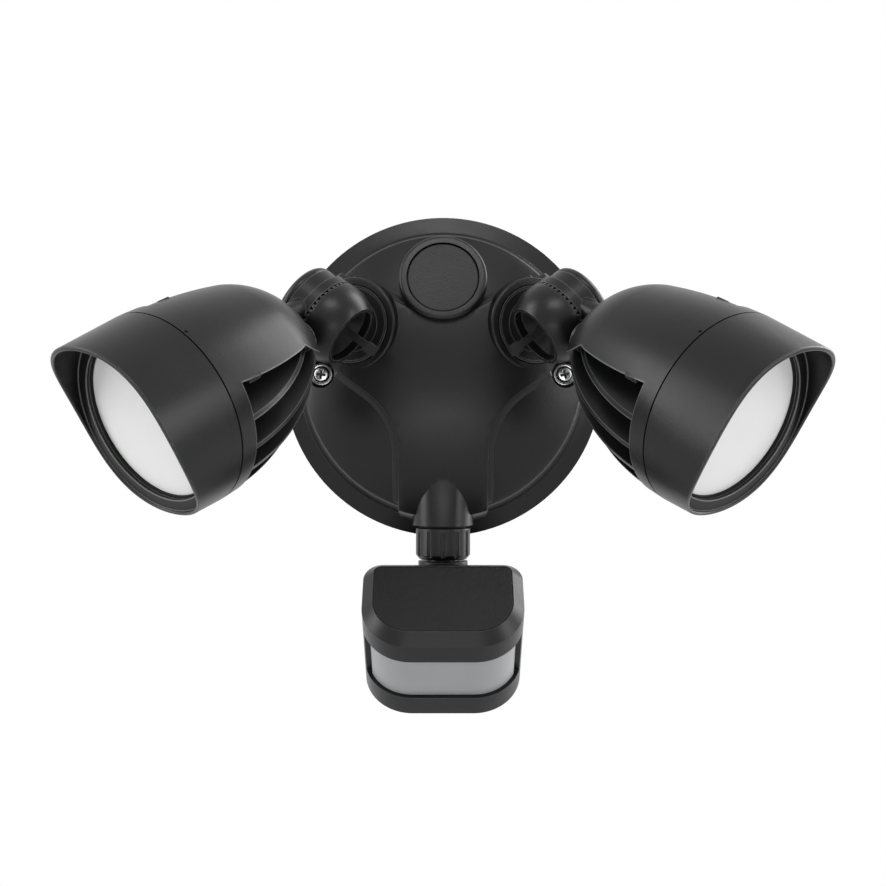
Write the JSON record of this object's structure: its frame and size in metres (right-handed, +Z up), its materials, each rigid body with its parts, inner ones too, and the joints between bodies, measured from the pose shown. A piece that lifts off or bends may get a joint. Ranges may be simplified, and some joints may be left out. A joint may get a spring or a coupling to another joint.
{
  "type": "twin head floodlight",
  "caption": "Outdoor wall floodlight: finned lamp heads with slanted visors on swivel knuckles, a round canopy and a tilting motion sensor below.",
  "frame": {"origin": "centre of the round canopy on the wall face, midway between the screws", "axes": "+Y into the wall, -Y out towards the viewer, +Z up, +X to the viewer's right"},
  "size_m": [0.231, 0.1596, 0.1815],
  "materials": {
    "black_casting": "satin black powder coat, fine grain",
    "black_plastic": "satin, fine grain",
    "black_steel": "black oxide",
    "steel": "zinc plated",
    "rubber": "matte",
    "diffuser": "frosted white",
    "reflector": "gloss white",
    "light_board": "white solder mask",
    "circuit_board": "green solder mask",
    "driver_case": "moulded",
    "dial_plastic": "moulded",
    "sensor_window": "fine lens pattern, translucent grey"
  },
  "bodies": {
    "base": {"canopy": "black_casting", "canopy_rim": "black_casting", "canopy_neck": "black_casting", "screw_seals": "rubber", "wall_gasket": "rubber", "blank_cap": "black_plastic", "screw_washers": "steel", "wall_screws": "steel", "led_driver": "driver_case", "neck_washer": "rubber", "left_turret_seal": "rubber", "right_turret_seal": "rubber"},
    "left_turret": {"left_turret": "black_casting", "left_turret_nut": "steel", "left_tilt_bolt": "black_steel", "left_tilt_nut": "steel"},
    "left_head": {"left_rear_housing": "black_casting", "left_knuckle_arm": "black_casting", "left_knuckle_cap": "black_casting", "left_visor": "black_casting", "left_lens_gasket": "rubber", "left_lens": "diffuser", "left_led_board": "light_board", "left_reflector": "reflector", "left_board_screws": "steel"},
    "right_turret": {"right_turret": "black_casting", "right_turret_nut": "steel", "right_tilt_bolt": "black_steel", "right_tilt_nut": "steel"},
    "right_head": {"right_rear_housing": "black_casting", "right_knuckle_arm": "black_casting", "right_knuckle_cap": "black_casting", "right_visor": "black_casting", "right_lens_gasket": "rubber", "right_lens": "diffuser", "right_led_board": "light_board", "right_reflector": "reflector", "right_board_screws": "steel"},
    "lock_nut": {"lock_nut": "black_plastic"},
    "sensor_stem": {"sensor_stem": "black_plastic", "stem_clip": "steel"},
    "sensor": {"sensor_cover": "black_plastic", "sensor_panel": "black_plastic", "sensor_base": "black_plastic", "sensor_window": "sensor_window", "sensor_board": "circuit_board", "pir_element": "steel", "hinge_pin": "steel"},
    "time_dial": {"time_dial": "dial_plastic"},
    "light_dial": {"light_dial": "dial_plastic"}
  },
  "joints": [
    {"name": "left_pan", "type": "hinge", "parent": "base", "child": "left_turret", "pos_m": [-0.0327, -0.0313, 0.0174], "axis": [-0.342, -0.9397, 0], "range_deg": [-60, 45]},
    {"name": "left_tilt", "type": "hinge", "parent": "left_turret", "child": "left_head", "pos_m": [-0.03913, -0.04897, 0.0174], "axis": [0.7564, -0.2753, -0.5934], "range_deg": [-50, 25]},
    {"name": "right_pan", "type": "hinge", "parent": "base", "child": "right_turret", "pos_m": [0.0327, -0.0313, 0.0174], "axis": [-0.342, 0.9397, 0], "range_deg": [-60, 45]},
    {"name": "right_tilt", "type": "hinge", "parent": "right_turret", "child": "right_head", "pos_m": [0.03913, -0.04897, 0.0174], "axis": [0.7564, 0.2753, 0.5934], "range_deg": [-50, 25]},
    {"name": "lock_nut_turn", "type": "hinge", "parent": "base", "child": "lock_nut", "pos_m": [0, -0.019, -0.062], "axis": [0, 0, 1], "range_deg": [0, 180]},
    {"name": "sensor_pan", "type": "hinge", "parent": "base", "child": "sensor_stem", "pos_m": [0, -0.019, -0.062], "axis": [0, 0, 1], "range_deg": [-20, 20]},
    {"name": "sensor_tilt", "type": "hinge", "parent": "sensor_stem", "child": "sensor", "pos_m": [0, -0.019, -0.0742], "axis": [1, 0, 0], "range_deg": [-28, 5]},
    {"name": "time_dial_turn", "type": "hinge", "parent": "sensor", "child": "time_dial", "pos_m": [-0.01, -0.02049, -0.1087], "axis": [0, -0.6884, 0.7254], "range_deg": [-135, 135]},
    {"name": "light_dial_turn", "type": "hinge", "parent": "sensor", "child": "light_dial", "pos_m": [0.01, -0.02049, -0.1087], "axis": [0, -0.6884, 0.7254], "range_deg": [-135, 135]}
  ]
}
